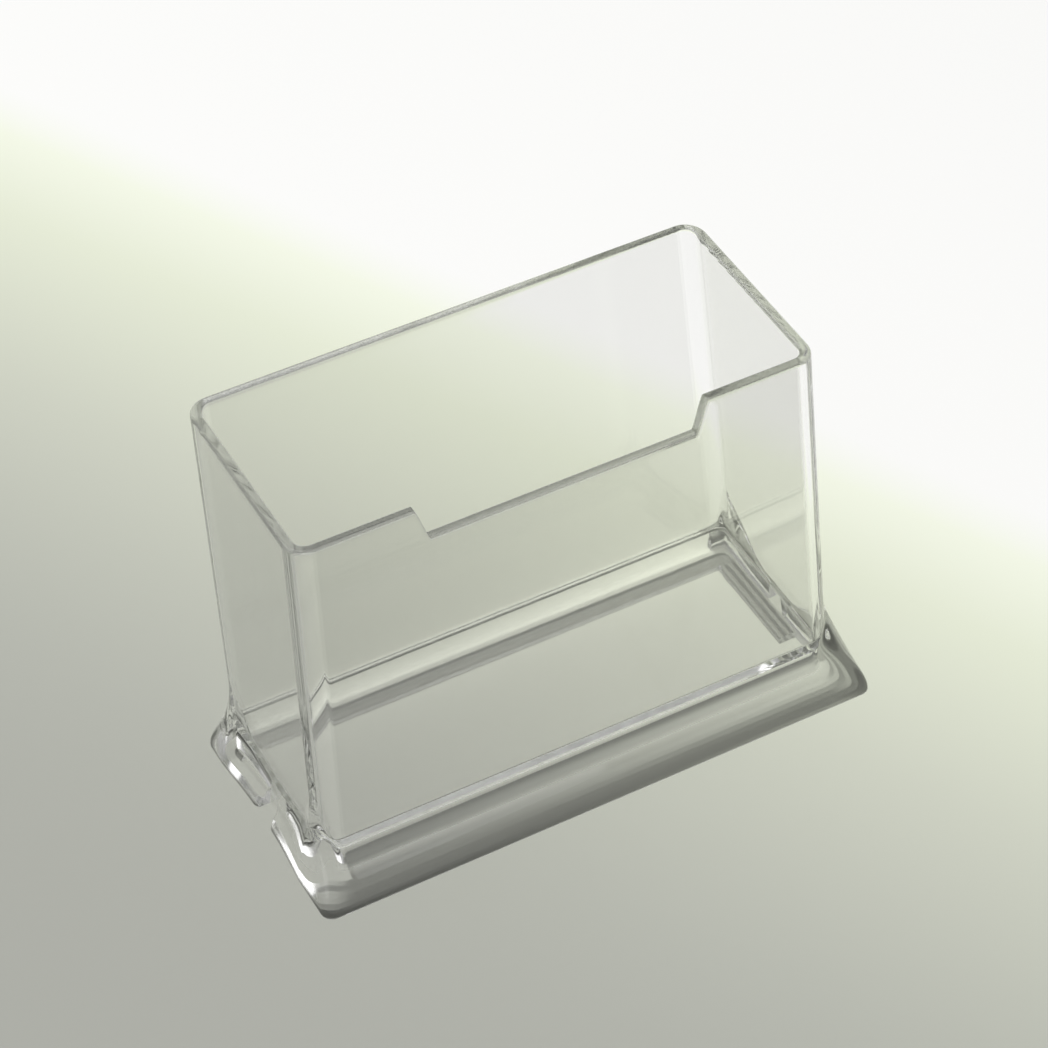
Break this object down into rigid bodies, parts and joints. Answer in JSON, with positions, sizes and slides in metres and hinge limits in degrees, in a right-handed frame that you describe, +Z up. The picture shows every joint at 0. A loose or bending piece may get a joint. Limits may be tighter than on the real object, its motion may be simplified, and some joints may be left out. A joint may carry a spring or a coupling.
{
  "type": "card stand",
  "caption": "Clear desk stand for business cards: a leaning four-wall sleeve, open at the top, with a finger notch in its front wall and a flared base.",
  "frame": {"origin": "on the ground, at the middle of the bounding box's bottom face", "axes": "+X along the front wall to the viewer's right, +Y from the front to the back, +Z up"},
  "size_m": [0.1056, 0.0553, 0.068],
  "materials": {
    "clear_acrylic": "clear, colourless, polished"
  },
  "bodies": {
    "root": {"card_sleeve": "clear_acrylic", "pocket_floor": "clear_acrylic", "rear_ledge": "clear_acrylic", "left_ledge": "clear_acrylic", "right_ledge": "clear_acrylic", "front_rail": "clear_acrylic", "front_left_foot": "clear_acrylic", "front_right_foot": "clear_acrylic", "rear_left_foot": "clear_acrylic", "rear_right_foot": "clear_acrylic"}
  },
  "joints": []
}
